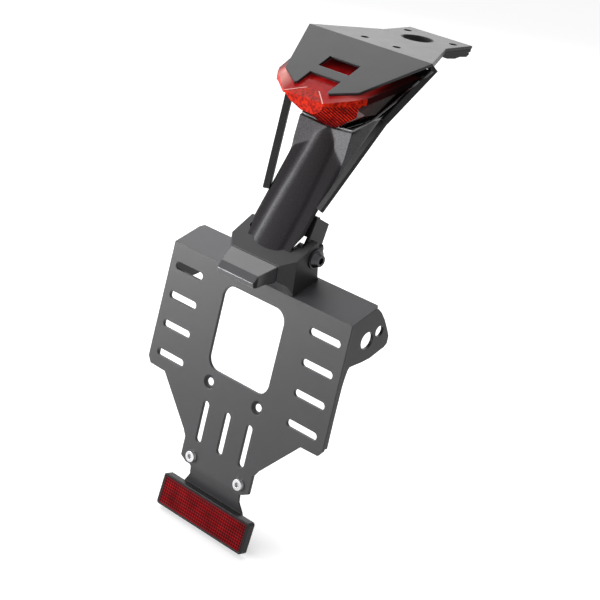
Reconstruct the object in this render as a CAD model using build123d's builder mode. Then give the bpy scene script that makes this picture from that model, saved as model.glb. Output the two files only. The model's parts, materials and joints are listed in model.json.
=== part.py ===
from build123d import *
import os
from math import cos, radians, sin, tan

# Tail tidy for a motorcycle: top plate with tail light, neck, pivoting number-plate holder and reflector
# Frame: origin at the centre of the four mounting holes, on the flange's upper face
# +Z up, +Y towards the front of the motorcycle, +X towards its right side

# Top plate
top_gauge = 2.0
bend_y = -46.0
flange_half_rear = 60.0
flange_half_front = 31.0
taper_front_y = 11.0
flange_front_y = 46.6
hood_angle = 26.0
hood_mid = 55.2
hood_end = 66.8
hood_half_mid = 35.8
hood_half_tip = 16.7
slot_half = 14.9
window_near = 27.8
window_far = 41.5
notch_top = 50.5
mount_hole_r = 3.25
rear_hole_x = 15.6
rear_hole_y = -32.0
front_hole_x = 22.6
front_hole_y = 32.0
cable_hole_y = 15.0
cable_hole_r = 12.9
sleeve_wall = 1.3
sleeve_deep = 13.0

# Side bracket
bracket_gauge = 3.0
bar_wide = 5.6
bar_thick = 3.2
bar_top = (57.4, -39.0, -5.0)
bar_knee = (46.0, -73.5, -45.0)
bar_end = (26.9, -107.0, -115.4)

# Tail light
lamp_depth_z = -66.0
lamp_knee_x = 36.0
lamp_knee_z = -44.5
lamp_side_x = 59.5
lamp_side_z = -5.0
rim_y = -74.0
rim_lean = 24.7
rim_plate = 3.0
rim_inset = 1.5
lens_wall = 2.0
dome_deep = 20.0
nose_half = 18.2
nose_y = -114.5
wing_x = 40.0
wing_y = -99.4
arrow_x = 43.5
brow_side_x = 55.0
arrow_y = -94.0
brow_angle = 18.3
brow_low_z = -38.5
brow_thick = 4.7
rib_y = -99.4
rib_z = -33.5
rib_lean = 36.0
nose_top_z = -34.0
nose_undercut = 30.0
lens_low_z = -62.5

# Neck
neck_lean = 32.2
neck_y = -131.0
neck_z = -148.1
neck_half = 25.2
side_lean_in = 0.86
cheek_half = 25.8
cheek_front = (-82.5, -59.0)
cheek_low = (-87.0, -92.3)
hump_half = 12.0
hump_rise = 2.3
hump_top = (0.0, -66.3)
rim_meet = (-66.8, -51.0)
neck_depth = 13.0
cover_wall = 2.2
neck_low = -14.0
neck_high = 106.0
cover_top_z = -45.4
carrier_gauge = 3.0
carrier_half = 25.9
carrier_depth = 6.9
carrier_long = 78.0

# Collar bracket
collar_gauge = 2.5
collar_half = 33.6
collar_front_half = 24.0
collar_front_y = -140.6
collar_corner_y = -131.5
collar_rear_y = -103.6
collar_slope = 30.0
collar_top_z = -154.6
opening_half = 27.0
pivot_y = -110.9
pivot_z = -150.7
pivot_r = 4.0
pivot_hole_r = 4.2
pivot_room_r = 8.6
pivot_head_r = 6.8
pivot_head_h = 4.4
washer_h = 1.2

# Number-plate holder
holder_gauge = 2.5
holder_y = -130.8
holder_z = -177.8
holder_lean = 7.05
holder_half_top = 92.0
holder_half_low = 94.0
holder_wide_end = 99.0
window_half = 31.8
window_top = 12.8
window_low = 82.7
side_slot_in = 56.0
side_slot_out = 85.9
side_slot_r = 3.1
side_slot_first = 17.5
side_slot_pitch = 24.6
low_slot_pitch = 23.5
low_slot_top = 109.3
low_slot_end = 145.0
low_slot_r = 3.1
sink_hole_x = 25.8
sink_hole_s = 93.6
sink_hole_r = 3.1
sink_head_r = 5.6
flange_slope = 18.0
flange_run = 27.0
lug_half = 92.0
lug_hole_r = 7.0
lug_small_r = 4.6

# Tongue and reflector
tongue_half = 37.4
tongue_end = 165.5
tongue_screw_x = 26.25
tongue_screw_s = 158.6
tongue_hole_r = 3.2
screw_r = 3.0
screw_head_r = 5.2
bracket_bend = 5.6
reflector_half = 47.3
reflector_high = 26.7
reflector_deep = 7.0
reflector_y = -155.4
reflector_z = -358.5
reflector_lean = 12.6
stud_r = 2.5

# Plate light
plate_light_half = 18.8
plate_light_back = 23.6

gap = 0.3
os.makedirs("parts", exist_ok=True)


def mirrored(points):
    """Closes a half outline, given from the middle outwards, with its mirror image about x = 0."""
    return list(points) + [(-x, y) for x, y in reversed(points) if x > 0]


hood_plane = Plane(origin=(0, bend_y, 0), x_dir=(1, 0, 0),
                   z_dir=(0, -sin(radians(hood_angle)), cos(radians(hood_angle))))
rim_plane = Plane(origin=(0, rim_y, lamp_depth_z), x_dir=(1, 0, 0),
                  z_dir=(0, -cos(radians(rim_lean)), sin(radians(rim_lean))))
holder_plane = Plane(origin=(0, holder_y, holder_z), x_dir=(1, 0, 0),
                     z_dir=(0, -cos(radians(holder_lean)), sin(radians(holder_lean))))
shelf_plane = Plane(origin=(0, holder_y, holder_z), x_dir=(1, 0, 0),
                    z_dir=(0, -sin(radians(flange_slope)), cos(radians(flange_slope))))
collar_plane = Plane(origin=(0, collar_front_y, collar_top_z), x_dir=(1, 0, 0),
                     z_dir=(0, -sin(radians(collar_slope)), cos(radians(collar_slope))))


def neck_plane(along):
    """Plane across the neck at a distance along its axis; local y runs towards the front."""
    lean = radians(neck_lean)
    return Plane(origin=(0, neck_y + along * sin(lean), neck_z + along * cos(lean)),
                 x_dir=(1, 0, 0), z_dir=(0, sin(lean), cos(lean)))


# Top plate: flat flange and sloping hood, folded from one sheet
with BuildPart() as top_plate:
    with BuildSketch():
        with BuildLine():
            Polyline(mirrored([(flange_half_rear, bend_y), (flange_half_front, taper_front_y),
                               (flange_half_front, flange_front_y)]), close=True)
        make_face()
        with Locations((rear_hole_x, rear_hole_y), (-rear_hole_x, rear_hole_y),
                       (front_hole_x, front_hole_y), (-front_hole_x, front_hole_y)):
            Circle(mount_hole_r, mode=Mode.SUBTRACT)
        with Locations((0, cable_hole_y)):
            Circle(cable_hole_r, mode=Mode.SUBTRACT)
    extrude(amount=-top_gauge)
    with BuildSketch(hood_plane):
        with BuildLine():
            Polyline(mirrored([(slot_half, -notch_top), (slot_half, -hood_end + 1.2),
                               (hood_half_tip, -hood_end), (hood_half_mid, -hood_mid),
                               (flange_half_rear, 0)]), close=True)
        make_face()
        with Locations((0, -(window_near + window_far) / 2)):
            Rectangle(2 * slot_half, window_far - window_near, mode=Mode.SUBTRACT)
    extrude(amount=-top_gauge)
top_plate.part.label = "top_plate"

# Side bracket: a plate under the flange with two bars that brace the neck


def bars(grow):
    """Both bent bars of the side bracket, with every face moved out by grow."""
    with BuildPart() as pair:
        for side in (1, -1):
            end, knee, top = [Vector(side * x, y, z) for x, y, z in (bar_end, bar_knee, bar_top)]
            with BuildSketch(Plane(origin=end, x_dir=(side * 0.9, 0, 0.43), z_dir=(knee - end).normalized())):
                Rectangle(bar_wide + 2 * grow, bar_thick + 2 * grow)
            extrude(amount=(knee - end).length + 1.2)
            with BuildSketch(Plane(origin=knee, x_dir=(side * 0.9, 0, 0.43),
                                   z_dir=(top - knee).normalized())):
                Rectangle(bar_thick + 2 * grow, bar_wide + 2 * grow)
            extrude(amount=(top - knee).length + 0.5)
    return pair.part


with BuildPart() as side_bracket:
    with BuildSketch(Plane.XY.offset(-top_gauge)):
        with BuildLine():
            Polyline(mirrored([(flange_half_rear - 0.9, bend_y + 0.8),
                               (flange_half_front - 0.6, taper_front_y),
                               (flange_half_front - 0.6, flange_front_y)]), close=True)
        make_face()
        with Locations((rear_hole_x, rear_hole_y), (-rear_hole_x, rear_hole_y),
                       (front_hole_x, front_hole_y), (-front_hole_x, front_hole_y)):
            Circle(mount_hole_r, mode=Mode.SUBTRACT)
        with Locations((0, cable_hole_y)):
            Circle(cable_hole_r, mode=Mode.SUBTRACT)
    extrude(amount=-bracket_gauge)
    add(bars(0))
    split(bisect_by=Plane.XY.offset(-top_gauge), keep=Keep.BOTTOM)
    split(bisect_by=hood_plane.offset(-top_gauge), keep=Keep.BOTTOM)
side_bracket.part.label = "side_bracket"


def lamp_body(inset, foot):
    """Faceted tail-light body, drawn in by an inset; foot moves its base along the rim's normal."""
    brow_plane = Plane(origin=(0, nose_y, brow_low_z), x_dir=(1, 0, 0),
                       z_dir=(0, -sin(radians(brow_angle)), cos(radians(brow_angle))))
    rib_plane = Plane(origin=(0, rib_y, rib_z), x_dir=(1, 0, 0),
                      z_dir=(0, -cos(radians(rib_lean)), -sin(radians(rib_lean))))
    nose_plane = Plane(origin=(0, nose_y, nose_top_z), x_dir=(1, 0, 0),
                       z_dir=(0, -cos(radians(nose_undercut)), -sin(radians(nose_undercut))))
    with BuildPart() as body:
        with BuildSketch(Plane.XZ.offset(-bend_y)):
            with BuildLine():
                Polyline(mirrored([(lamp_side_x, lamp_side_z), (lamp_knee_x, lamp_knee_z),
                                   (9, lens_low_z + 1), (0, lens_low_z)]), close=True)
            make_face()
            offset(amount=-inset - rim_inset, kind=Kind.INTERSECTION)
        extrude(amount=80)
        split(bisect_by=rib_plane.offset(-inset), keep=Keep.BOTTOM)
        with BuildSketch(Plane.XY.offset(lamp_depth_z - 10)):
            with BuildLine():
                Polyline(mirrored([(nose_half, nose_y), (wing_x, wing_y), (arrow_x, arrow_y),
                                   (brow_side_x, bend_y), (brow_side_x, bend_y + 30)]), close=True)
            make_face()
            offset(amount=-inset - gap, kind=Kind.INTERSECTION)
        extrude(amount=100, mode=Mode.INTERSECT)
        split(bisect_by=brow_plane.offset(brow_thick - inset), keep=Keep.BOTTOM)
        with BuildPart(mode=Mode.PRIVATE) as brow:
            with BuildSketch(Plane.XY.offset(lamp_depth_z - 10)):
                with BuildLine():
                    Polyline(mirrored([(nose_half, nose_y), (wing_x, wing_y), (arrow_x, arrow_y),
                                       (brow_side_x, bend_y), (brow_side_x, bend_y + 30)]), close=True)
                make_face()
                offset(amount=-inset - gap, kind=Kind.INTERSECTION)
            extrude(amount=100)
            split(bisect_by=brow_plane.offset(brow_thick - inset), keep=Keep.BOTTOM)
            split(bisect_by=brow_plane.offset(inset), keep=Keep.TOP)
            with BuildSketch(nose_plane):
                with BuildLine():
                    Polyline(mirrored([(nose_half, 0), (nose_half, -5.0), (14.5, -10.5), (5.9, -15.9)]),
                             close=True)
                make_face()
                offset(amount=-inset, kind=Kind.INTERSECTION)
            extrude(amount=-20)
            split(bisect_by=nose_plane.offset(-inset), keep=Keep.BOTTOM)
        add(brow.part)
        split(bisect_by=rim_plane.offset(foot), keep=Keep.TOP)
        split(bisect_by=hood_plane.offset(-top_gauge - gap - inset), keep=Keep.BOTTOM)
        split(bisect_by=Plane.XY.offset(-top_gauge - bracket_gauge - gap - inset), keep=Keep.BOTTOM)
    return body.part


with BuildPart() as cable_sleeve:
    with BuildSketch():
        with Locations((0, cable_hole_y)):
            Circle(cable_hole_r)
            Circle(cable_hole_r - sleeve_wall, mode=Mode.SUBTRACT)
    extrude(amount=-sleeve_deep)
    with BuildSketch(Plane.XY.offset(-top_gauge - bracket_gauge)):
        with Locations((0, cable_hole_y)):
            Circle(cable_hole_r + 2.5)
            Circle(cable_hole_r - sleeve_wall, mode=Mode.SUBTRACT)
    extrude(amount=-2)
cable_sleeve.part.label = "cable_sleeve"

with BuildPart() as tail_light_lens:
    add(lamp_body(0, 0))
    add(lamp_body(lens_wall, -1), mode=Mode.SUBTRACT)
    add(bars(gap), mode=Mode.SUBTRACT)
tail_light_lens.part.label = "tail_light_lens"

with BuildPart() as tail_light_housing:
    with BuildSketch(rim_plane):
        with BuildLine():
            Polyline(mirrored([(lamp_side_x + 0.8, 67.2), (lamp_knee_x + 1, 23.2), (9, 4.6), (0, 1.2)]),
                     close=True)
        make_face()
        fillet(vertices().filter_by_position(Axis.Y, -1, 30), 7)
    extrude(amount=-rim_plate)
    for inset, mode in ((0, Mode.ADD), (lens_wall, Mode.SUBTRACT)):
        with BuildSketch(rim_plane.offset(-rim_plate)):
            with BuildLine():
                Polyline(mirrored([(lamp_side_x - 9, 64), (lamp_knee_x - 4, 27), (0, 9)]), close=True)
            make_face()
            offset(amount=-inset, kind=Kind.INTERSECTION, mode=Mode.REPLACE)
        extrude(amount=-dome_deep + inset, taper=24, mode=mode)
    split(bisect_by=hood_plane.offset(-top_gauge - gap), keep=Keep.BOTTOM)
    split(bisect_by=Plane.XY.offset(-top_gauge - bracket_gauge - gap), keep=Keep.BOTTOM)
    add(bars(gap), mode=Mode.SUBTRACT)
tail_light_housing.part.label = "tail_light_housing"

with BuildPart() as tail_light_board:
    with BuildSketch(rim_plane):
        with BuildLine():
            Polyline(mirrored([(32, 40), (24, 24), (0, 12)]), close=True)
        make_face()
    extrude(amount=1.6)
tail_light_board.part.label = "tail_light_board"

with BuildPart() as tail_light_leds:
    with BuildSketch(rim_plane.offset(1.6)):
        with GridLocations(11, 9, 4, 2):
            with Locations((0, 30)):
                Rectangle(3.5, 2.8)
    extrude(amount=1.4)
tail_light_leds.part.label = "tail_light_leds"


# Neck: moulded cover over a steel carrier
def hat(inset, depth):
    """Half outline of the neck: a humped middle, flat shoulders and sides that lean in."""
    return [(4.0, inset), (hump_half - inset, hump_rise - 0.8 + inset),
            (hump_half + 2.0, hump_rise - 0.2 + inset),
            (neck_half - 0.6 - inset, hump_rise + inset), (neck_half - inset, hump_rise + 0.6 + inset),
            (neck_half - inset - (depth - hump_rise - 0.6 - inset) * side_lean_in, depth)]


strip = [(-106.4, -121.3), (-103.0, -121.9), (-108.4, -137.6), (-111.8, -137.0)]
with BuildPart() as carrier_arm:
    with BuildSketch(neck_plane(neck_low + 6)):
        with Locations((0, carrier_depth + carrier_gauge / 2)):
            Rectangle(2 * (neck_half - 9), carrier_gauge)
    extrude(amount=carrier_long)
    for side in (1, -1):
        with BuildSketch(Plane.YZ.offset(side * carrier_half)):
            with BuildLine():
                Polyline((-106.4, -121.3), (-91.4, -128.9), (-95.4, -143.0), (-98, -158), (-117, -158),
                         (-117, -148), (-111.8, -137.0), close=True)
            make_face()
        extrude(amount=-side * carrier_gauge)
    with BuildSketch(Plane.YZ.offset(-carrier_half)):
        with BuildLine():
            Polyline(strip, close=True)
        make_face()
    extrude(amount=2 * carrier_half)
    with Locations(Plane(origin=(0, pivot_y, pivot_z), z_dir=(1, 0, 0))):
        Cylinder(pivot_hole_r, 3 * carrier_half, mode=Mode.SUBTRACT)
carrier_arm.part.label = "carrier_arm"


# Collar bracket: folded box open underneath and towards the front
def collar_outline(inset):
    """Half outline of the collar seen from above, drawn in by the sheet."""
    return [(collar_front_half - inset * 0.6, collar_front_y + inset),
            (collar_half - inset, collar_corner_y + inset * 0.4),
            (collar_half - inset, collar_rear_y + 40)]


with BuildPart() as collar_bracket:
    for inset, kind in ((0, Mode.ADD), (collar_gauge, Mode.SUBTRACT)):
        with BuildPart(mode=Mode.PRIVATE) as block:
            with BuildSketch(Plane.XY.offset(-200)):
                with BuildLine():
                    Polyline(mirrored(collar_outline(inset)), close=True)
                make_face()
            extrude(amount=90)
            split(bisect_by=collar_plane.offset(-inset), keep=Keep.BOTTOM)
            with BuildSketch(Plane.YZ.offset(-2 * collar_half)):
                with BuildLine():
                    Polyline((-141.5, -150), (-141.5, -166.5), (-135, -169.8), (-130, -177.4),
                             (collar_rear_y, -168.9), (-105, -165.6), (-106.1, -158.9), (-105.5, -154.1),
                             (-103, -144), (-104.5, -139.8), (-112, -136.5), (-118, -137), close=True)
                make_face()
            extrude(amount=4 * collar_half, mode=Mode.INTERSECT)
        if inset == 0:
            add(block.part)
        else:
            with BuildPart(mode=Mode.PRIVATE) as hollow:
                with BuildSketch(Plane.XY.offset(-200)):
                    with BuildLine():
                        Polyline(mirrored(collar_outline(inset)), close=True)
                    make_face()
                extrude(amount=90)
                split(bisect_by=collar_plane.offset(-inset), keep=Keep.BOTTOM)
            add(hollow.part, mode=Mode.SUBTRACT)
    with BuildSketch(collar_plane):
        with BuildLine():
            Polyline(mirrored([(4, 11.6), (8, 13.6), (hump_half, 17.6), (hump_half + 1.5, 19),
                               (opening_half - 5, 19.2), (opening_half, 24), (opening_half, 60)]), close=True)
        make_face()
    extrude(amount=-6, mode=Mode.SUBTRACT)
    with BuildSketch(collar_plane):
        with BuildLine():
            Polyline((opening_half, 34), (collar_half + 1, 34), (collar_half + 1, 60), (opening_half, 60),
                     close=True)
        make_face()
        mirror(about=Plane.YZ)
    extrude(amount=-6, mode=Mode.SUBTRACT)
    with Locations(Plane(origin=(0, pivot_y, pivot_z), z_dir=(1, 0, 0))):
        Cylinder(pivot_hole_r, 3 * carrier_half, mode=Mode.SUBTRACT)
collar_bracket.part.label = "collar_bracket"

def cheeks():
    """Two cheeks that widen the top of the neck up to the lamp, each cut back by a slanting facet."""
    with BuildPart() as pair:
        for side in (1, -1):
            outer = Vector(side * cheek_half, *cheek_front)
            inner = Vector(side * 6, -72, -65)
            low = Vector(side * cheek_half, *cheek_low)
            normal = (inner - outer).cross(low - outer).normalized()
            if normal.Y > 0:
                normal = -normal
            with BuildPart(mode=Mode.PRIVATE) as cheek:
                with BuildSketch(Plane.YZ.offset(side * cheek_half)):
                    with BuildLine():
                        Polyline((-95, -93), (-95, -40), (-46, -40), (-50, -60), (-68, -96), (-84, -93),
                                 close=True)
                    make_face()
                extrude(amount=-side * (cheek_half - 6))
                split(bisect_by=Plane(origin=outer, z_dir=normal), keep=Keep.BOTTOM)
                with BuildSketch(Plane.YZ.offset(side * (cheek_half - cover_wall))):
                    with BuildLine():
                        Polyline((-76, -88), (-70, -40), (-40, -40), (-40, -60), (-60, -100), close=True)
                    make_face()
                extrude(amount=-side * cheek_half, mode=Mode.SUBTRACT)
            add(cheek.part)
    return pair.part


rim_back = rim_plane.offset(-rim_plate - gap)


def above_cheek(side):
    """Room over the slanting top edge of one cheek, rearward of the tail light's rim."""
    outer = Vector(side * cheek_half, *cheek_front)
    inner = Vector(side * hump_top[0], cheek_front[0], hump_top[1])
    meet = Vector(side * cheek_half, *rim_meet)
    normal = (inner - outer).cross(meet - outer).normalized()
    if normal.Z < 0:
        normal = -normal
    with BuildPart() as room:
        with BuildSketch(Plane(origin=outer, z_dir=normal)):
            Rectangle(200, 200)
        extrude(amount=60)
        split(bisect_by=Plane(origin=(0, 0, 0), z_dir=(side, 0, 0)), keep=Keep.TOP)
        split(bisect_by=rim_back, keep=Keep.TOP)
    return room.part


with BuildPart() as arm_cover:
    with BuildSketch(neck_plane(neck_low)):
        with BuildLine():
            Polyline(mirrored(hat(0, neck_depth)), close=True)
        make_face()
        with BuildLine():
            Polyline(mirrored(hat(cover_wall, neck_depth)), close=True)
        make_face(mode=Mode.SUBTRACT)
    extrude(amount=neck_high - neck_low)
    add(cheeks())
    for side in (1, -1):
        add(above_cheek(side), mode=Mode.SUBTRACT)
    split(bisect_by=Plane.XY.offset(cover_top_z), keep=Keep.BOTTOM)
    with BuildSketch(Plane.YZ.offset(-carrier_half)):
        with BuildLine():
            Polyline(strip, close=True)
        make_face()
        offset(amount=gap, kind=Kind.INTERSECTION)
    extrude(amount=2 * carrier_half, mode=Mode.SUBTRACT)
    add(tail_light_housing.part, mode=Mode.SUBTRACT)
    add(tail_light_lens.part, mode=Mode.SUBTRACT)
    add(bars(gap), mode=Mode.SUBTRACT)
    add(side_bracket.part, mode=Mode.SUBTRACT)
    with Locations(Plane(origin=(0, pivot_y, pivot_z), z_dir=(1, 0, 0))):
        Cylinder(pivot_room_r, 3 * carrier_half, mode=Mode.SUBTRACT)
    with BuildSketch(Plane.XY.offset(collar_top_z - 22)):
        Rectangle(120, 400)
    extrude(amount=20, mode=Mode.SUBTRACT)
    add(collar_bracket.part, mode=Mode.SUBTRACT)
arm_cover.part.label = "arm_cover"

with BuildPart() as pivot_bolts:
    for side in (1, -1):
        with BuildSketch(Plane(origin=(side * (collar_half + washer_h), pivot_y, pivot_z),
                               z_dir=(side, 0, 0))):
            Circle(pivot_head_r)
        extrude(amount=pivot_head_h, taper=28)
        with BuildSketch(Plane(origin=(side * (collar_half + washer_h), pivot_y, pivot_z),
                               z_dir=(-side, 0, 0))):
            Circle(pivot_r)
        extrude(amount=collar_half + washer_h - carrier_half + carrier_gauge + 9)
    for side in (1, -1):
        with BuildSketch(Plane(origin=(side * (collar_half + washer_h + pivot_head_h), pivot_y, pivot_z),
                               z_dir=(-side, 0, 0))):
            RegularPolygon(2.9, 6)
        extrude(amount=2.6, mode=Mode.SUBTRACT)
pivot_bolts.part.label = "pivot_bolts"

with BuildPart() as pivot_washers:
    for side in (1, -1):
        with BuildSketch(Plane(origin=(side * collar_half, pivot_y, pivot_z), z_dir=(side, 0, 0))):
            Circle(pivot_head_r + 1.2)
            Circle(pivot_hole_r, mode=Mode.SUBTRACT)
        extrude(amount=washer_h)
pivot_washers.part.label = "pivot_washers"

with BuildPart() as pivot_spacers:
    for side in (1, -1):
        with BuildSketch(Plane(origin=(side * carrier_half, pivot_y, pivot_z), z_dir=(side, 0, 0))):
            Circle(6.5)
            Circle(pivot_hole_r, mode=Mode.SUBTRACT)
        extrude(amount=collar_half - collar_gauge - carrier_half)
pivot_spacers.part.label = "pivot_spacers"

with BuildPart() as pivot_nuts:
    for side in (1, -1):
        with BuildSketch(Plane(origin=(side * (carrier_half - carrier_gauge), pivot_y, pivot_z),
                               z_dir=(-side, 0, 0))):
            RegularPolygon(6.5, 6, major_radius=False)
            Circle(pivot_r + 0.05, mode=Mode.SUBTRACT)
        extrude(amount=6.5)
pivot_nuts.part.label = "pivot_nuts"

# Number-plate holder: slotted plate, top shelf and two side lugs from one sheet
slot_s = [side_slot_first + side_slot_pitch * n for n in range(4)]
slot_mid = (side_slot_in + side_slot_out) / 2
slot_long = side_slot_out - side_slot_in
low_mid = (low_slot_top + low_slot_end) / 2
low_long = low_slot_end - low_slot_top
with BuildPart() as plate_holder:
    with BuildSketch(holder_plane):
        with BuildLine():
            Polyline(mirrored([(31.0, -tongue_end), (tongue_half, -162), (tongue_half, -146), (40.5, -141),
                               (73.5, -holder_wide_end - 5.5), (holder_half_low - 3.5, -holder_wide_end - 5),
                               (holder_half_low, -holder_wide_end), (holder_half_low, 8 - holder_wide_end),
                               (holder_half_top, 0)]), close=True)
        make_face()
        with Locations((0, -(window_top + window_low) / 2)):
            RectangleRounded(2 * window_half, window_low - window_top, 10.5, mode=Mode.SUBTRACT)
        for s in slot_s:
            with Locations((slot_mid, -s), (-slot_mid, -s)):
                SlotOverall(slot_long, 2 * side_slot_r, mode=Mode.SUBTRACT)
        with Locations(*[(n * low_slot_pitch, -low_mid) for n in (-1, 0, 1)]):
            SlotOverall(low_long, 2 * low_slot_r, rotation=90, mode=Mode.SUBTRACT)
        with Locations((sink_hole_x, -sink_hole_s), (-sink_hole_x, -sink_hole_s)):
            Circle(sink_hole_r, mode=Mode.SUBTRACT)
        with Locations((tongue_screw_x, -tongue_screw_s), (-tongue_screw_x, -tongue_screw_s)):
            Circle(tongue_hole_r, mode=Mode.SUBTRACT)
    extrude(amount=-holder_gauge)
    for x in (sink_hole_x, -sink_hole_x):
        with BuildSketch(holder_plane):
            with Locations((x, -sink_hole_s)):
                Circle(sink_head_r)
        extrude(amount=-1.9, taper=45, mode=Mode.SUBTRACT)
    with BuildSketch(shelf_plane):
        with BuildLine():
            Polyline(mirrored([(lug_half, 0), (lug_half, flange_run), (lug_half - 2, flange_run + 4)]),
                     close=True)
        make_face()
    extrude(amount=-holder_gauge)
    for side in (1, -1):
        with BuildSketch(Plane.YZ.offset(side * lug_half)):
            with BuildLine():
                Polyline((-130.8, -177.8), (-112, -171.9), (-104.2, -170), (-101.8, -170.6), (-97.3, -174.5),
                         (-91.8, -181.4), (-86, -190.9), (-83.2, -196.4), (-83.4, -202.2), (-86.5, -205),
                         (-90.8, -206.2), (-101.8, -210.1), (-111, -211.3), (-124.9, -211.9),
                         (-126.7, -213.6), (-128.6, -219.7), (-130.1, -227.4), (-132.8, -253.2),
                         (-134.7, -276.8), (-142, -276.8), close=True)
            make_face()
            with Locations((-109.7, -194.3)):
                Circle(lug_hole_r, mode=Mode.SUBTRACT)
            with Locations((-96, -189.8)):
                Circle(lug_small_r, mode=Mode.SUBTRACT)
        extrude(amount=-side * holder_gauge)
    split(bisect_by=holder_plane, keep=Keep.BOTTOM)
plate_holder.part.label = "plate_holder"

# Number-plate light on the front of the collar
with BuildPart() as plate_light_housing:
    with BuildSketch(Plane.YZ.offset(-plate_light_back)):
        with BuildLine():
            Polyline((collar_front_y - 0.1, -155.2), (-155.6, -162), (-160, -167), (-159.2, -170.6),
                     (-156.2, -171.4), (-150, -169.2), (-142, -168.2), (collar_front_y - 0.1, -166.2),
                     close=True)
        make_face()
    extrude(amount=2 * plate_light_back)
    with BuildSketch(Plane.XY.offset(-200)):
        with BuildLine():
            Polyline(mirrored([(plate_light_back, collar_front_y), (plate_light_half, -155.6),
                               (plate_light_half - 0.8, -165)]), close=True)
        make_face()
    extrude(amount=60, mode=Mode.INTERSECT)
    edges_long = plate_light_housing.edges().filter_by(Axis.X)
    fillet(edges_long.sort_by(Axis.Y)[0:3], 0.8)
plate_light_housing.part.label = "plate_light_housing"

with BuildPart() as plate_light_lens:
    with BuildSketch(Plane.YZ.offset(-plate_light_half + 3)):
        with BuildLine():
            Polyline((-155.5, -171.3), (-150, -169.3), (-142.4, -168.3), (-143, -170.2), (-150.2, -171.6),
                     (-155.2, -172.6), close=True)
        make_face()
    extrude(amount=2 * plate_light_half - 6)
plate_light_lens.part.label = "plate_light_lens"

# Reflector on its folded bracket
reflector_plane = Plane(origin=(0, reflector_y, reflector_z), x_dir=(1, 0, 0),
                        z_dir=(0, -cos(radians(reflector_lean)), sin(radians(reflector_lean))))
with BuildPart() as reflector_housing:
    with BuildSketch(reflector_plane):
        with Locations((0, -reflector_high / 2)):
            RectangleRounded(2 * reflector_half, reflector_high, 2.2)
    extrude(amount=-reflector_deep)
    with BuildSketch(reflector_plane):
        with Locations((0, -reflector_high / 2)):
            RectangleRounded(2 * reflector_half - 3, reflector_high - 3, 1.4)
    extrude(amount=-2.5, mode=Mode.SUBTRACT)
reflector_housing.part.label = "reflector_housing"

with BuildPart() as reflector_lens:
    with BuildSketch(reflector_plane.offset(-2.5)):
        with Locations((0, -reflector_high / 2)):
            RectangleRounded(2 * reflector_half - 3, reflector_high - 3, 1.4)
    extrude(amount=2.7)
reflector_lens.part.label = "reflector_lens"

reflector_back = reflector_plane.offset(-reflector_deep)
tongue_back = holder_plane.offset(-holder_gauge)
low_dir = Vector(0, -sin(radians(holder_lean)), -cos(radians(holder_lean)))
bracket_gauge_low = 2.0
seat_s = 150.0
turn_s = 168.0
tongue_mid = tongue_back.location.position
fold_line = [Vector(tongue_mid) + low_dir * seat_s, Vector(tongue_mid) + low_dir * turn_s,
             reflector_back.from_local_coords((0, 1, 0)), reflector_back.from_local_coords((0, -20, 0))]
with BuildPart() as reflector_bracket:
    with BuildSketch(Plane.YZ.offset(-tongue_half)):
        with BuildLine():
            Polyline([(p.Y, p.Z) for p in fold_line]
                     + [(p.Y + bracket_gauge_low, p.Z) for p in reversed(fold_line)], close=True)
        make_face()
    extrude(amount=2 * tongue_half)
    with BuildSketch(Plane.XZ.offset(100)):
        with BuildLine():
            Polyline(mirrored([(33, -320), (33, -340), (27, -345), (27, -352), (33, -362), (33, -370),
                               (28, -380)]), close=True)
        make_face()
        screw_z = fold_line[0].Z + (seat_s - tongue_screw_s) * cos(radians(holder_lean))
        with Locations((tongue_screw_x, screw_z), (-tongue_screw_x, screw_z)):
            Circle(tongue_hole_r, mode=Mode.SUBTRACT)
    extrude(amount=80, mode=Mode.INTERSECT)
reflector_bracket.part.label = "reflector_bracket"

with BuildPart() as tongue_screws:
    for x in (tongue_screw_x, -tongue_screw_x):
        with BuildSketch(holder_plane):
            with Locations((x, -tongue_screw_s)):
                Circle(screw_head_r)
        extrude(amount=2.4, taper=18)
        with BuildSketch(holder_plane):
            with Locations((x, -tongue_screw_s)):
                Circle(screw_r)
        extrude(amount=-12)
        with BuildSketch(holder_plane.offset(2.4)):
            with Locations((x, -tongue_screw_s)):
                RegularPolygon(2.3, 6)
        extrude(amount=-1.6, mode=Mode.SUBTRACT)
tongue_screws.part.label = "tongue_screws"

with BuildPart() as tongue_nuts:
    for x in (tongue_screw_x, -tongue_screw_x):
        with BuildSketch(tongue_back.offset(-bracket_gauge_low)):
            with Locations((x, -tongue_screw_s)):
                RegularPolygon(5.0, 6, major_radius=False)
                Circle(screw_r + 0.05, mode=Mode.SUBTRACT)
        extrude(amount=-5)
tongue_nuts.part.label = "tongue_nuts"

pieces = [top_plate, side_bracket, cable_sleeve, tail_light_lens, tail_light_housing, tail_light_board,
          tail_light_leds, arm_cover, carrier_arm, collar_bracket, pivot_bolts, pivot_washers, pivot_spacers,
          pivot_nuts, plate_holder, plate_light_housing, plate_light_lens, reflector_housing, reflector_lens,
          reflector_bracket, tongue_screws, tongue_nuts]
for piece in pieces:
    export_step(piece.part, "parts/" + piece.part.label + ".step")
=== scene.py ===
import json
import math
import bmesh
import bpy
from mathutils import Matrix, Vector


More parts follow.
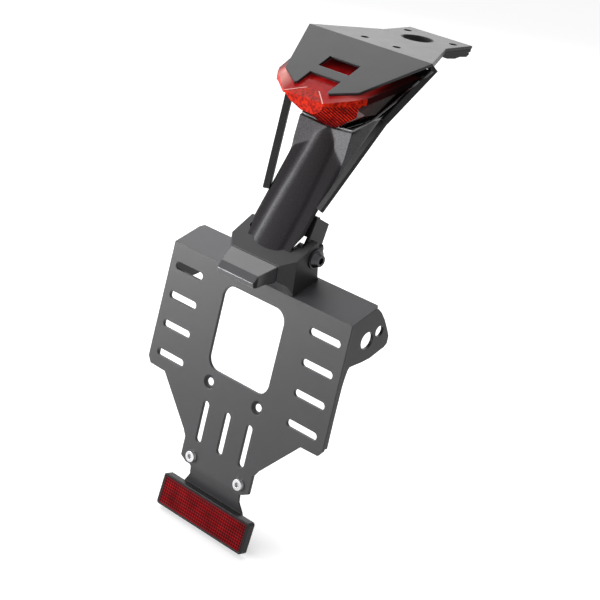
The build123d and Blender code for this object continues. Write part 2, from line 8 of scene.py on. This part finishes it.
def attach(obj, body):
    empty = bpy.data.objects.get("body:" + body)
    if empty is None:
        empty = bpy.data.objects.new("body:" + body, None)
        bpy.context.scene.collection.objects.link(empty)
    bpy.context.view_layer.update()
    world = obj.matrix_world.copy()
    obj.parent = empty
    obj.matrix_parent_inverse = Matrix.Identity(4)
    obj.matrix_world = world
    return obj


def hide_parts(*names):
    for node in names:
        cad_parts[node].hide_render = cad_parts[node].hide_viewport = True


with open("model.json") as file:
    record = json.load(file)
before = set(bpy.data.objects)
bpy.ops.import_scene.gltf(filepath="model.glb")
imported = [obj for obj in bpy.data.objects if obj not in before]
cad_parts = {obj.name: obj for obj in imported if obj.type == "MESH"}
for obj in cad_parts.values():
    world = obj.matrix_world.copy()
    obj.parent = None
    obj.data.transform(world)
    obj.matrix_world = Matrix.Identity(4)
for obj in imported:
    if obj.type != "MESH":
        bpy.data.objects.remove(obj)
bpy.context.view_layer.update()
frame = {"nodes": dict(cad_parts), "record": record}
nodes = frame["nodes"]

# Camera values solved from the photograph's vanishing points
FOCAL = 83.64
CAMERA_AT = (0.6256, -0.8812, 0.2100)
CAMERA_RIGHT = (0.74059, 0.65479, 0.15089)
CAMERA_DOWN = (0.35702, -0.19319, -0.91391)
CAMERA_AHEAD = (-0.56926, 0.73071, -0.37685)
FLOOR_Z = -0.3885

# Lens, in metres: flute pitch, start of the smoked sides, ends of the pale corner patches that are painted
# highlights, back of the nose
FLUTE_PITCH = 0.0038
SMOKE_START = -0.0935
PATCH_END = -0.0853
PATCH_NEAR = -0.0845
PATCH_SLOPE = 2.39
PATCH_LEVEL = 0.0416
NOSE_BACK = 0.1036
NOSE_BACK_HALF = 0.0059
NOSE_TAPER = -1.29

# Reflector: width of one facet in metres
FACET_PITCH = 0.0046

# Neck cover: its own axis leans, and depth runs towards the front of the motorcycle
# Start and half width are in millimetres, and the line of its painted crease highlight in metres
NECK_LEAN = math.radians(32.2)
NECK_AT = (-131.0, -148.1)
NECK_HALF = 25.2
CREASE_HIGHLIGHT_START = -0.0125
CREASE_HIGHLIGHT_RISE = 0.03


class Shader:
    """Builds one node material with short calls."""

    def __init__(self, name):
        self.material = bpy.data.materials.new(name)
        self.material.use_nodes = True
        self.tree = self.material.node_tree
        self.main = self.tree.nodes["Principled BSDF"]
        self.output = self.tree.nodes["Material Output"]
        self.coords = self.node("ShaderNodeTexCoord").outputs["Object"]

    def node(self, kind, **values):
        made = self.tree.nodes.new(kind)
        for key, value in values.items():
            if hasattr(made, key):
                setattr(made, key, value)
            else:
                made.inputs[key].default_value = value
        return made

    def link(self, start, end):
        self.tree.links.new(start, end)

    def set(self, **values):
        for key, value in values.items():
            self.main.inputs[key.replace("_", " ")].default_value = value

    def noise(self, scale, detail=3.0, rough=0.5, stretch=(1, 1, 1)):
        mapping = self.node("ShaderNodeMapping")
        mapping.inputs["Scale"].default_value = stretch
        self.link(self.coords, mapping.inputs["Vector"])
        made = self.node("ShaderNodeTexNoise")
        made.inputs["Scale"].default_value = scale
        made.inputs["Detail"].default_value = detail
        made.inputs["Roughness"].default_value = rough
        self.link(mapping.outputs["Vector"], made.inputs["Vector"])
        return made.outputs["Fac"]

    def ramp(self, value, low, high, start=0.0, end=1.0):
        made = self.node("ShaderNodeMapRange")
        made.inputs["From Min"].default_value = start
        made.inputs["From Max"].default_value = end
        made.inputs["To Min"].default_value = low
        made.inputs["To Max"].default_value = high
        self.link(value, made.inputs["Value"])
        return made.outputs["Result"]

    def math(self, operation, a, b=0.0):
        made = self.node("ShaderNodeMath", operation=operation)
        for socket, value in zip(made.inputs, (a, b)):
            if isinstance(value, (int, float)):
                socket.default_value = value
            else:
                self.link(value, socket)
        return made.outputs["Value"]

    def blend(self, factor, first, second):
        made = self.node("ShaderNodeMix", data_type="RGBA")
        self.link(factor, made.inputs[0])
        for socket, value in ((made.inputs[6], first), (made.inputs[7], second)):
            if isinstance(value, tuple):
                socket.default_value = (*value, 1.0)
            else:
                self.link(value, socket)
        return made.outputs[2]

    def place(self, axis):
        made = self.node("ShaderNodeSeparateXYZ")
        self.link(self.coords, made.inputs["Vector"])
        return made.outputs[axis]

    def bump(self, height, strength, distance, soft_edge=0.0):
        made = self.node("ShaderNodeBump")
        made.inputs["Strength"].default_value = strength
        made.inputs["Distance"].default_value = distance
        self.link(height, made.inputs["Height"])
        if soft_edge:
            bevel = self.node("ShaderNodeBevel", samples=6)
            bevel.inputs["Radius"].default_value = soft_edge
            self.link(bevel.outputs["Normal"], made.inputs["Normal"])
        self.link(made.outputs["Normal"], self.main.inputs["Normal"])


def coated_steel(name, base, rough, edge, shine=0.32, top_light_gain=1.0):
    """Satin powder coat: fine orange peel, faint cloudiness and rounded sheet edges, with optional painted
    light that lightens upward faces.
    """
    s = Shader(name)
    cloud = s.blend(s.ramp(s.noise(14.0, 4.0), 0.0, 1.0, 0.3, 0.7), tuple(c * 0.88 for c in base),
                    tuple(c * 1.1 for c in base))
    # Painted light: faces that point up are lightened, as if lit from above.
    if top_light_gain > 1:
        facing = s.node("ShaderNodeSeparateXYZ")
        s.link(s.node("ShaderNodeNewGeometry").outputs["True Normal"], facing.inputs["Vector"])
        painted_top_light = s.ramp(facing.outputs["Z"], 0.0, 1.0, 0.80, 0.90)
        cloud = s.blend(painted_top_light, cloud, tuple(c * top_light_gain for c in base))
    s.link(cloud, s.main.inputs["Base Color"])
    s.link(s.ramp(s.noise(60.0, 4.0), rough - 0.04, rough + 0.04), s.main.inputs["Roughness"])
    s.set(Specular_IOR_Level=shine)
    grain = s.math("ADD", s.noise(2600.0, 2.0), s.math("MULTIPLY", s.noise(900.0, 2.0), 0.6))
    s.bump(grain, 0.10, 0.0002, edge)
    return s.material


def moulded(name, base, rough, edge, grain_scale=1700.0, grain=0.22, shine=0.5):
    """Moulded plastic with a fine leather-like grain."""
    s = Shader(name)
    s.link(s.blend(s.ramp(s.noise(25.0, 3.0), 0.0, 1.0, 0.3, 0.7), tuple(c * 0.9 for c in base),
                   tuple(c * 1.12 for c in base)), s.main.inputs["Base Color"])
    s.link(s.ramp(s.noise(grain_scale / 2, 3.0), rough - 0.06, rough + 0.06), s.main.inputs["Roughness"])
    s.set(Specular_IOR_Level=shine)
    s.bump(s.noise(grain_scale, 3.0), grain, 0.0002, edge)
    return s.material


def cover_black(name):
    """Moulded neck cover: grained cheeks painted lighter where light falls on them, a smoother hump and a
    painted highlight along its left crease.
    """
    s = Shader(name)
    x, y, z = s.place("X"), s.place("Y"), s.place("Z")
    y = s.math("SUBTRACT", y, NECK_AT[0] / 1000)
    z = s.math("SUBTRACT", z, NECK_AT[1] / 1000)
    lean_sin, lean_cos = math.sin(NECK_LEAN), math.cos(NECK_LEAN)
    along = s.math("ADD", s.math("MULTIPLY", y, lean_sin), s.math("MULTIPLY", z, lean_cos))
    depth = s.math("SUBTRACT", s.math("MULTIPLY", y, lean_cos), s.math("MULTIPLY", z, lean_sin))
    plane = s.math("ADD", s.math("MULTIPLY", s.math("ABSOLUTE", x), 0.272), s.math("MULTIPLY", along, 0.391))
    over = s.math("SUBTRACT", s.math("ADD", depth, plane), 0.0402)
    cheek = s.ramp(over, 0.0, 1.0, -0.0007, -0.0003)
    # Painted highlight: a lighter band along the hump's left crease, where light catches it.
    ridge = s.math("SUBTRACT", x, s.math("ADD", s.math("MULTIPLY", along, CREASE_HIGHLIGHT_RISE), CREASE_HIGHLIGHT_START))
    painted_crease_highlight = s.ramp(s.math("ABSOLUTE", ridge), 1.0, 0.0, 0.0008, 0.0075)
    painted_crease_highlight = s.math("MULTIPLY", painted_crease_highlight, painted_crease_highlight)
    painted_crease_highlight = s.math("MULTIPLY", painted_crease_highlight, s.ramp(s.noise(70.0, 4.0), 0.75, 1.0, 0.3, 0.6))
    grain = s.noise(1300.0, 3.0)
    speck = s.ramp(grain, 0.7, 1.35, 0.35, 0.65)
    hump = s.blend(painted_crease_highlight, (0.014, 0.012, 0.014), (0.115, 0.113, 0.120))
    # Painted light: the cheek facets are made much lighter than the hump, and lighter still towards the top,
    # as if lit from the left.
    facet = s.blend(s.ramp(along, 0.0, 1.0, 0.076, 0.100), (0.075, 0.074, 0.080), (0.092, 0.090, 0.096))
    tint = s.blend(cheek, hump, facet)
    spread = s.node("ShaderNodeVectorMath", operation="SCALE")
    s.link(tint, spread.inputs[0])
    s.link(speck, spread.inputs["Scale"])
    s.link(spread.outputs["Vector"], s.main.inputs["Base Color"])
    s.link(s.ramp(cheek, 0.30, 0.48), s.main.inputs["Roughness"])
    s.set(Specular_IOR_Level=0.16)
    s.bump(grain, 0.3, 0.0002, 0.001)
    return s.material


def metal(name, base, rough):
    """Plated fastener: fine turning marks and uneven plating."""
    s = Shader(name)
    s.set(Metallic=1.0)
    s.link(s.blend(s.ramp(s.noise(180.0, 4.0), 0.0, 1.0, 0.3, 0.7), tuple(c * 0.8 for c in base), base),
           s.main.inputs["Base Color"])
    s.link(s.ramp(s.noise(400.0, 3.0), rough - 0.08, rough + 0.08), s.main.inputs["Roughness"])
    s.bump(s.noise(1500.0, 2.0), 0.12, 0.0001, 0.0003)
    return s.material


def red_lamp(name, zone):
    """One zone of the red lens: top, lit (nose and brow), fluted (undercut face) or smoked (sides); painted
    glints, glow, highlights, reflections and shade are part of its colour.
    """
    s = Shader(name)
    x, y, z = s.place("X"), s.place("Y"), s.place("Z")
    side = s.math("ABSOLUTE", x)
    # Painted glints: orange-red sparks scattered over the lens, standing in for light caught inside it.
    cells = s.node("ShaderNodeTexVoronoi")
    cells.inputs["Scale"].default_value = 420.0
    s.link(s.coords, cells.inputs["Vector"])
    glint = s.ramp(s.math("MULTIPLY", cells.outputs["Distance"], s.noise(160.0, 4.0)), 0.0, 1.0, 0.05, 0.38)
    lit = s.blend(glint, (0.16, 0.0012, 0.0018), (0.58, 0.020, 0.005))
    height = s.math("MULTIPLY", glint, 0.5)
    # Painted glow: the unlit lens emits its own colour weakly, as if light passed through it.
    glow = 0.16
    if zone == "top":
        cloud = s.ramp(s.noise(90.0, 3.0), 0.0, 1.0, 0.35, 0.65)
        deep = s.blend(cloud, (0.30, 0.005, 0.006), (0.44, 0.012, 0.011))
        reach = s.math("ADD", s.math("MULTIPLY", s.math("ADD", y, NOSE_BACK), NOSE_TAPER), NOSE_BACK_HALF)
        nose = s.math("MULTIPLY", s.math("LESS_THAN", y, -NOSE_BACK), s.math("LESS_THAN", side, reach))
        # Painted reflection: a pale pink patch on each wing of the top, stronger on the left.
        painted_wing_reflection = s.math("MULTIPLY", s.ramp(side, 0.0, 1.0, 0.019, 0.030), s.ramp(side, 1.0, 0.0, 0.036, 0.041))
        painted_wing_reflection = s.math("MULTIPLY", painted_wing_reflection, s.ramp(x, 0.75, 0.15, -0.02, 0.02))
        # Painted shade: the top darkens towards the front of the motorcycle, under the hood, and along its
        # outer edges.
        deep = s.blend(s.ramp(y, 0.0, 0.9, -0.078, -0.062), deep, (0.012, 0.002, 0.003))
        deep = s.blend(s.ramp(side, 0.0, 0.93, 0.0395, 0.044), deep, (0.03, 0.006, 0.006))
        tint = s.blend(painted_wing_reflection, deep, (0.85, 0.36, 0.32))
        tint = s.blend(nose, tint, lit)
        # Painted highlight: a pale line along the nose's side edges.
        line = s.math("LESS_THAN", s.math("ABSOLUTE", s.math("SUBTRACT", side, reach)), 0.0006)
        line = s.math("MULTIPLY", line, s.math("LESS_THAN", y, -NOSE_BACK))
        tint = s.blend(s.math("MULTIPLY", line, 0.8), tint, (1.0, 0.55, 0.50))
    elif zone == "fluted":
        slant = s.math("ADD", s.math("MULTIPLY", x, 0.62), z)
        wave = s.math("SINE", s.math("MULTIPLY", slant, 2 * math.pi / FLUTE_PITCH))
        flutes = s.ramp(wave, 0.0, 1.0, -0.6, 0.5)
        tint = s.blend(s.math("MULTIPLY", flutes, 0.94), lit, (0.030, 0.001, 0.002))
        tint = s.blend(s.ramp(z, 0.8, 0.0, -0.059, -0.047), tint, (0.030, 0.001, 0.002))
        height = s.math("ADD", flutes, height)
    elif zone == "smoked":
        # Painted shade: the sides darken to near black towards the front of the motorcycle.
        tint = s.blend(s.ramp(y, 0.0, 1.0, -0.088, -0.066), (0.045, 0.006, 0.006), (0.006, 0.002, 0.002))
        # Painted highlight: a pale grey-pink patch at the rear corner of each smoked side.
        corner = s.math("ADD", y, s.math("MULTIPLY", s.math("ADD", z, PATCH_LEVEL), PATCH_SLOPE))
        patch = s.math("MULTIPLY", s.math("LESS_THAN", corner, PATCH_END), s.math("LESS_THAN", y, PATCH_NEAR))
        tint = s.blend(patch, tint, (0.34, 0.22, 0.22))
        glow = 0.0
    else:
        tint = lit
    s.link(tint, s.main.inputs["Base Color"])
    s.link(tint, s.main.inputs["Emission Color"])
    s.link(s.ramp(s.noise(300.0, 2.0), 0.12, 0.22), s.main.inputs["Roughness"])
    s.set(Emission_Strength=glow, Specular_IOR_Level={"top": 0.05, "lit": 0.03}.get(zone, 0.01))
    s.bump(height, 0.3, 0.0004, 0.0)
    return s.material


def reflector_red(name):
    """Prismatic reflector: crossed diagonal facets under a smooth face."""
    s = Shader(name)
    x, z = s.place("X"), s.place("Z")
    step = 2 * math.pi / FACET_PITCH
    one = s.math("SINE", s.math("MULTIPLY", s.math("ADD", x, z), step))
    two = s.math("SINE", s.math("MULTIPLY", s.math("SUBTRACT", x, z), step))
    cells = s.ramp(s.math("MULTIPLY", one, two), 0.0, 1.0, -0.5, 0.5)
    patch = s.ramp(s.noise(70.0, 3.0), 0.0, 1.0, 0.35, 0.65)
    mixed = s.math("MULTIPLY", cells, s.math("ADD", s.math("MULTIPLY", patch, 0.5), 0.5))
    facets = s.blend(mixed, (0.018, 0.0005, 0.0008), (0.30, 0.006, 0.009))
    split = s.node("ShaderNodeSeparateXYZ")
    s.link(s.node("ShaderNodeTexCoord").outputs["Generated"], split.inputs["Vector"])
    from_side = s.math("ABSOLUTE", s.math("SUBTRACT", split.outputs["X"], 0.5))
    from_end = s.math("ABSOLUTE", s.math("SUBTRACT", split.outputs["Z"], 0.5))
    border = s.math("MAXIMUM", s.math("GREATER_THAN", from_side, 0.485),
                    s.math("GREATER_THAN", from_end, 0.45))
    s.link(s.blend(border, facets, (0.045, 0.016, 0.018)), s.main.inputs["Base Color"])
    s.link(s.ramp(s.noise(300.0, 2.0), 0.10, 0.18), s.main.inputs["Roughness"])
    s.set(Specular_IOR_Level=0.04)
    s.bump(mixed, 0.25, 0.0003, 0.0003)
    return s.material


def clear_cover(name):
    """Frosted clear lens of the plate light."""
    s = Shader(name)
    s.set(Transmission_Weight=0.7, IOR=1.49)
    frost = s.blend(s.ramp(s.noise(90.0), 0.0, 1.0), (0.82, 0.84, 0.86), (0.92, 0.94, 0.95))
    s.link(frost, s.main.inputs["Base Color"])
    s.link(s.ramp(s.noise(500.0), 0.2, 0.35), s.main.inputs["Roughness"])
    s.bump(s.noise(900.0), 0.15, 0.0002)
    return s.material


black_steel = coated_steel("black_steel", (0.026, 0.026, 0.028), 0.42, 0.0008)
looks = {
    "black_steel": black_steel,
    "red_lens": red_lamp("lens_lit", "lit"),
    "lamp_black": moulded("lamp_black", (0.010, 0.010, 0.011), 0.12, 0.0008, 900.0, 0.03, 0.3),
    "rubber_black": moulded("rubber_black", (0.006, 0.006, 0.007), 0.75, 0.0004),
    "board": moulded("board", (0.02, 0.09, 0.05), 0.5, 0.0002),
    "led": moulded("led", (0.8, 0.75, 0.5), 0.4, 0.0002),
    "moulded_black": moulded("moulded_black", (0.014, 0.013, 0.015), 0.30, 0.0010, 1500.0, 0.25, 0.16),
    "dark_fastener": metal("dark_fastener", (0.06, 0.06, 0.065), 0.35),
    "bright_fastener": metal("bright_fastener", (0.52, 0.52, 0.53), 0.3),
    "clear_lens": clear_cover("clear_lens"),
    "reflector_red": reflector_red("reflector_red"),
}
slot_of = {entry["node"]: entry["material_slot"] for entry in frame["record"]["subparts"]}
for name, thing in nodes.items():
    thing.data.materials.clear()
    thing.data.materials.append(looks[slot_of[name]])
bracket_steel = coated_steel("bracket_steel", (0.012, 0.012, 0.013), 0.40, 0.0008, 0.2)
# The holder gets painted light on its upward faces.
holder_steel = coated_steel("holder_steel", (0.026, 0.026, 0.028), 0.42, 0.0008, 0.32, 3.2)
light_black = moulded("light_black", (0.055, 0.055, 0.060), 0.14, 0.0010, 700.0, 0.03, 0.6)
nodes["side_bracket"].data.materials[0] = bracket_steel
nodes["plate_holder"].data.materials[0] = holder_steel
nodes["plate_light_housing"].data.materials[0] = light_black


def new_piece(name, points, faces, material):
    """Makes a smooth-shaded mesh piece from millimetre points, riding on the part's one body."""
    mesh = bpy.data.meshes.new(name)
    mesh.from_pydata([tuple(c / 1000 for c in p) for p in points], [], faces)
    mesh.polygons.foreach_set("use_smooth", [True] * len(mesh.polygons))
    piece = bpy.data.objects.new(name, mesh)
    bpy.context.scene.collection.objects.link(piece)
    mesh.materials.append(material)
    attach(piece, "root")
    return piece


def grid_faces(rows, columns, first=0):
    return [(first + r * columns + c, first + r * columns + c + 1,
             first + (r + 1) * columns + c + 1, first + (r + 1) * columns + c)
            for r in range(rows - 1) for c in range(columns - 1)]


def smooth_step(value, low, high):
    t = min(max((value - low) / (high - low), 0.0), 1.0)
    return t * t * (3 - 2 * t)


# Neck cover, in millimetres: half width at the cheeks, shoulder and crown depths, softness of the joint
CHEEK_HALF = 25.8
SHOULDER = 2.5
CROWN = 1.1
BLEND = 0.5


def neck_point(x, along, depth):
    return (x, NECK_AT[0] + along * math.sin(NECK_LEAN) + depth * math.cos(NECK_LEAN),
            NECK_AT[1] + along * math.cos(NECK_LEAN) - depth * math.sin(NECK_LEAN))


def hat_depth(x, along):
    """Depth of the humped face: crowned middle, short flanks and flat shoulders."""
    half = 12.6 - 3.2 * smooth_step(along, 30, 98)
    side = abs(x)
    crown = CROWN * min(side / half, 1.0) ** 2
    flank = (SHOULDER - CROWN) * smooth_step(side, half - 1.0, half + 2.6)
    edge = 1.1 * smooth_step(side, NECK_HALF - 2.0, NECK_HALF + 0.6)
    return crown + flank + edge


def face_depth(x, along):
    """The humped face with a cheek on each side, blended where they meet."""
    hat = hat_depth(x, along)
    cheek = 40.2 - 0.272 * abs(x) - 0.391 * along
    if abs(hat - cheek) > 6:
        return min(hat, cheek)
    return -BLEND * math.log(math.exp(-hat / BLEND) + math.exp(-cheek / BLEND))


def front_edge(z):
    """Front edge of a cheek's side wall at one height."""
    line = [(-113.0, -101.0), (-105.0, -94.0), (-96.0, -88.5), (-88.0, -84.0), (-75.0, -69.0), (-60.0, -53.0),
            (-45.4, -47.0)]
    for (z0, y0), (z1, y1) in zip(line, line[1:]):
        if z <= z1:
            return y0 + (y1 - y0) * max(z - z0, 0.0) / (z1 - z0)
    return line[-1][1]


def rim_point(x):
    """Low edge of the lamp's rim above a place on the neck."""
    side = abs(x)
    up = 1.2 + 3.4 * min(side / 9, 1.0) + 18.6 * max(side - 9, 0.0) / 28
    return (x, -73.4 + 0.418 * up, -66.4 + 0.908 * up)


def neck_cover():
    half_columns = 26
    stations = [-14 + 2.5 * n for n in range(46)]
    top = 101.0
    stations = [a for a in stations if a < top] + [top]
    points = []
    for along in stations:
        widen = smooth_step(along, 76, 86)
        straight = smooth_step(along, 38, 48)
        half = NECK_HALF + (CHEEK_HALF - NECK_HALF) * widen - 3.4 * (1 - smooth_step(along, 8, 19))
        row = []
        for side in (-1, 1):
            wall = []
            corner = neck_point(side * half, along, face_depth(side * half, along))
            reach = 0.8 if along < 13 else 10.0
            run = max(front_edge(corner[2]) - corner[1], 1)
            for step in (1, 2, 3):
                low = neck_point(side * (half - 0.86 * reach * step / 3), along, 3.6 + reach * step / 3)
                ahead = (side * half, corner[1] + run * step / 3, corner[2])
                wall.append(tuple(l + (u - l) * straight for l, u in zip(low, ahead)))
            places = [half * n / half_columns * side for n in range(half_columns + 1)]
            face = [neck_point(x, along, face_depth(x, along)) for x in places]
            row.append((face, wall))
        (left, left_wall), (right, right_wall) = row
        points += left_wall[::-1] + left[::-1] + right[1:] + right_wall
    columns = 2 * half_columns + 7
    faces = grid_faces(len(stations), columns)
    # Slanting top edge that closes the cheeks under the lamp's rim
    start = len(points)
    last = (len(stations) - 1) * columns + 3
    edge = points[last:last + 2 * half_columns + 1]
    points += [rim_point(p[0]) for p in edge]
    for n in range(2 * half_columns):
        faces.append((last + n, last + n + 1, start + n + 1, start + n))
    # Side walls carried on behind the rim
    for side in (-1, 1):
        base = (len(stations) - 1) * columns + (0 if side < 0 else columns - 4)
        order = list(range(base + 3, base - 1, -1)) if side < 0 else list(range(base, base + 4))
        first = len(points)
        for low, high, z in ((-66.8, -50.0, -52.0), (-60.5, -47.0, -45.6)):
            points += [(side * CHEEK_HALF, low + (high - low) * k / 3, z) for k in range(4)]
        rows = [order, [first + k for k in range(4)], [first + 4 + k for k in range(4)]]
        for lower, upper in zip(rows, rows[1:]):
            for k in range(3):
                faces.append((lower[k], lower[k + 1], upper[k + 1], upper[k]))
    piece = new_piece("neck_cover", points, faces, cover_black("neck_black"))
    piece.data.set_sharp_from_angle(angle=math.radians(40))
    shell = piece.modifiers.new("shell", "SOLIDIFY")
    shell.thickness = 0.002
    shell.offset = -1
    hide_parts("arm_cover")


neck_cover()


def tail_lens():
    """The lens with rounded edges and a finish for each of its zones."""
    mesh = nodes["tail_light_lens"].data.copy()
    mesh.name = "lens_skin"
    made = bmesh.new()
    made.from_mesh(mesh)
    bmesh.ops.remove_doubles(made, verts=made.verts, dist=0.00002)
    bmesh.ops.dissolve_limit(made, angle_limit=math.radians(2), verts=made.verts, edges=made.edges)
    zones = ("lit", "top", "fluted", "smoked")
    for face in made.faces:
        normal, middle = face.normal, face.calc_center_median()
        across = abs(normal.x)
        if normal.z > 0.85:
            face.material_index = 1
        elif normal.y < -0.7 and -0.62 < normal.z < -0.55:
            face.material_index = 2
        elif across > 0.45 and middle.y > SMOKE_START:
            face.material_index = 3
        else:
            face.material_index = 0
    mesh.materials.clear()
    made.to_mesh(mesh)
    made.free()
    for zone in zones:
        mesh.materials.append(looks["red_lens"] if zone == "lit" else red_lamp("lens_" + zone, zone))
    piece = bpy.data.objects.new("lens_skin", mesh)
    bpy.context.scene.collection.objects.link(piece)
    round_off = piece.modifiers.new("edges", "BEVEL")
    round_off.width = 0.0006
    round_off.segments = 2
    round_off.limit_method = "ANGLE"
    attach(piece, "root")
    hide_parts("tail_light_lens")


tail_lens()


def lamp_bead():
    """Raised bead along the top of the neck cover and up both sides of the lamp's rim, pale grey as a painted
    highlight on the rim's edge.
    """
    half = []
    for x in (0.0, 3.0, 6.0, 9.0, 13.0, 17.0, 21.0, 25.0):
        low = neck_point(x, 101.0, face_depth(x, 101.0))
        half.append((x, low[1] + 2.0, low[2] + 1.5))
    half += [(32.0, -68.8, -49.0), (46.0, -58.9, -28.4), (55.5, -52.4, -13.6)]
    path = [Vector((-x, y, z)) for x, y, z in half[:0:-1]] + [Vector(p) for p in half]
    points, radius, sides = [], 0.8, 10
    for n, centre in enumerate(path):
        course = (path[min(n + 1, len(path) - 1)] - path[max(n - 1, 0)]).normalized()
        across = course.cross(Vector((0, -1, 0))).normalized()
        ahead = across.cross(course)
        for k in range(sides):
            turn = 2 * math.pi * k / sides
            points.append(centre + across * (radius * math.cos(turn)) + ahead * (radius * math.sin(turn)))
    faces = [tuple(range(sides))[::-1], tuple(range(len(points) - sides, len(points)))]
    for n in range(len(path) - 1):
        for k in range(sides):
            a, b = n * sides + k, n * sides + (k + 1) % sides
            faces.append((a, b, b + sides, a + sides))
    # Painted highlight: the bead is pale grey where the rim's edge catches light.
    rim_painted_highlight = moulded("rim_painted_highlight", (0.16, 0.16, 0.165), 0.3, 0.0, 900.0, 0.05)
    new_piece("lamp_bead", points, faces, rim_painted_highlight)


lamp_bead()

LIP_OUT = 30.4


def bracket_lips():
    """Turned-down edge of the lower sheet below each long side of the flange."""
    outline = [(8, -4.8), (44.5, -4.8), (45.5, -6.8), (42.5, -8.8), (33, -8.2), (27, -9.2), (16, -8.4),
               (9, -6.4)]
    points, faces = [], []
    for side in (-1, 1):
        first = len(points)
        points += [(side * x, y, z) for x in (LIP_OUT - 2.6, LIP_OUT) for y, z in outline]
        count = len(outline)
        near = list(range(first, first + count))
        far = list(range(first + count, first + 2 * count))
        faces += [tuple(near[::side]), tuple(far[::-side])]
        for k in range(count):
            ring = (near[k], far[k], far[(k + 1) % count], near[(k + 1) % count])
            faces.append(ring[::side])
    piece = new_piece("bracket_lips", points, faces, bracket_steel)
    piece.data.set_sharp_from_angle(angle=math.radians(35))
    soften = piece.modifiers.new("soften", "BEVEL")
    soften.width = 0.0004
    soften.segments = 2


bracket_lips()

# Studio floor, with a painted soft contact shadow of the reflector's low edge, made by lowering the floor's
# emission near it
SHADOW_HALF = 0.038
SHADOW_AWAY = -0.148
SHADOW_REACH = 0.042
floor_mesh = bpy.data.meshes.new("floor")
floor_corners = [(x, y, FLOOR_Z) for x, y in ((-6, -6), (6, -6), (6, 6), (-6, 6))]
floor_mesh.from_pydata(floor_corners, [], [(0, 1, 2, 3)])
floor = bpy.data.objects.new("floor", floor_mesh)
bpy.context.scene.collection.objects.link(floor)
white = Shader("floor_white")
white.set(Base_Color=(0.9, 0.9, 0.9, 1.0), Roughness=0.9)
white.set(Specular_IOR_Level=0.0, Emission_Color=(1, 1, 1, 1))
rays = white.node("ShaderNodeLightPath")
direct = white.math("ADD", rays.outputs["Is Camera Ray"], rays.outputs["Is Glossy Ray"])
direct = white.math("ADD", direct, rays.outputs["Is Transmission Ray"])
across, away = white.place("X"), white.place("Y")
spread = white.math("MAXIMUM", white.math("SUBTRACT", white.math("ABSOLUTE", across), SHADOW_HALF), 0.0)
depth = white.math("SUBTRACT", away, SHADOW_AWAY)
squares = white.math("ADD", white.math("MULTIPLY", spread, spread), white.math("MULTIPLY", depth, depth))
gap = white.math("SQRT", squares)
bare = white.ramp(gap, 0.0, 1.0, 0.0, SHADOW_REACH)
bare = white.math("POWER", bare, 0.6)
lift = white.math("ADD", white.math("MULTIPLY", bare, 0.54), 0.20)
white.link(white.math("MULTIPLY", white.ramp(direct, 0.1, 1.0), lift), white.main.inputs["Emission Strength"])
floor_mesh.materials.append(white.material)


def area_light(name, at, toward, size, power, tall=None):
    data = bpy.data.lights.new(name, "AREA")
    data.shape = "RECTANGLE"
    data.size = size
    data.size_y = tall or size
    data.energy = power
    lamp = bpy.data.objects.new(name, data)
    lamp.location = at
    lamp.visible_camera = False
    lamp.rotation_euler = (Vector(toward) - Vector(at)).to_track_quat("-Z", "Y").to_euler()
    bpy.context.scene.collection.objects.link(lamp)


area_light("key", (-0.95, 0.62, 0.95), (0, -0.1, -0.12), 1.3, 9.0, 1.1)
area_light("left", (-1.45, -1.5, 0.0), (0, -0.12, -0.2), 1.0, 56.0, 0.8)
area_light("front", (-1.25, 1.5, 0.62), (0.03, -0.15, -0.2), 0.9, 3.0, 0.7)
area_light("top", (-0.2, -0.5, 1.6), (0, -0.1, -0.15), 0.5, 4.0)

world = bpy.data.worlds.new("studio")
world.use_nodes = True
tree = world.node_tree
background = tree.nodes["Background"]
path = tree.nodes.new("ShaderNodeLightPath")
seen = tree.nodes.new("ShaderNodeMath")
seen.operation = "ADD"
seen.use_clamp = True
tree.links.new(path.outputs["Is Camera Ray"], seen.inputs[0])
tree.links.new(path.outputs["Is Transmission Ray"], seen.inputs[1])
mirrored = tree.nodes.new("ShaderNodeMath")
mirrored.operation = "ADD"
mirrored.use_clamp = True
tree.links.new(seen.outputs["Value"], mirrored.inputs[0])
tree.links.new(path.outputs["Is Glossy Ray"], mirrored.inputs[1])
strength = tree.nodes.new("ShaderNodeMapRange")
strength.inputs["To Min"].default_value = 0.2
strength.inputs["To Max"].default_value = 1.0
tree.links.new(mirrored.outputs["Value"], strength.inputs["Value"])
background.inputs["Color"].default_value = (1, 1, 1, 1)
tree.links.new(strength.outputs["Result"], background.inputs["Strength"])
bpy.context.scene.world = world

camera_data = bpy.data.cameras.new("camera")
camera_data.lens = FOCAL
camera_data.sensor_width = 36
camera = bpy.data.objects.new("camera", camera_data)
columns = (Vector(CAMERA_RIGHT), -Vector(CAMERA_DOWN), -Vector(CAMERA_AHEAD))
turn = Matrix([[c[i] for c in columns] for i in range(3)]).to_4x4()
camera.matrix_world = Matrix.Translation(CAMERA_AT) @ turn
bpy.context.scene.collection.objects.link(camera)
bpy.context.scene.camera = camera
bpy.context.scene.view_settings.view_transform = "Standard"
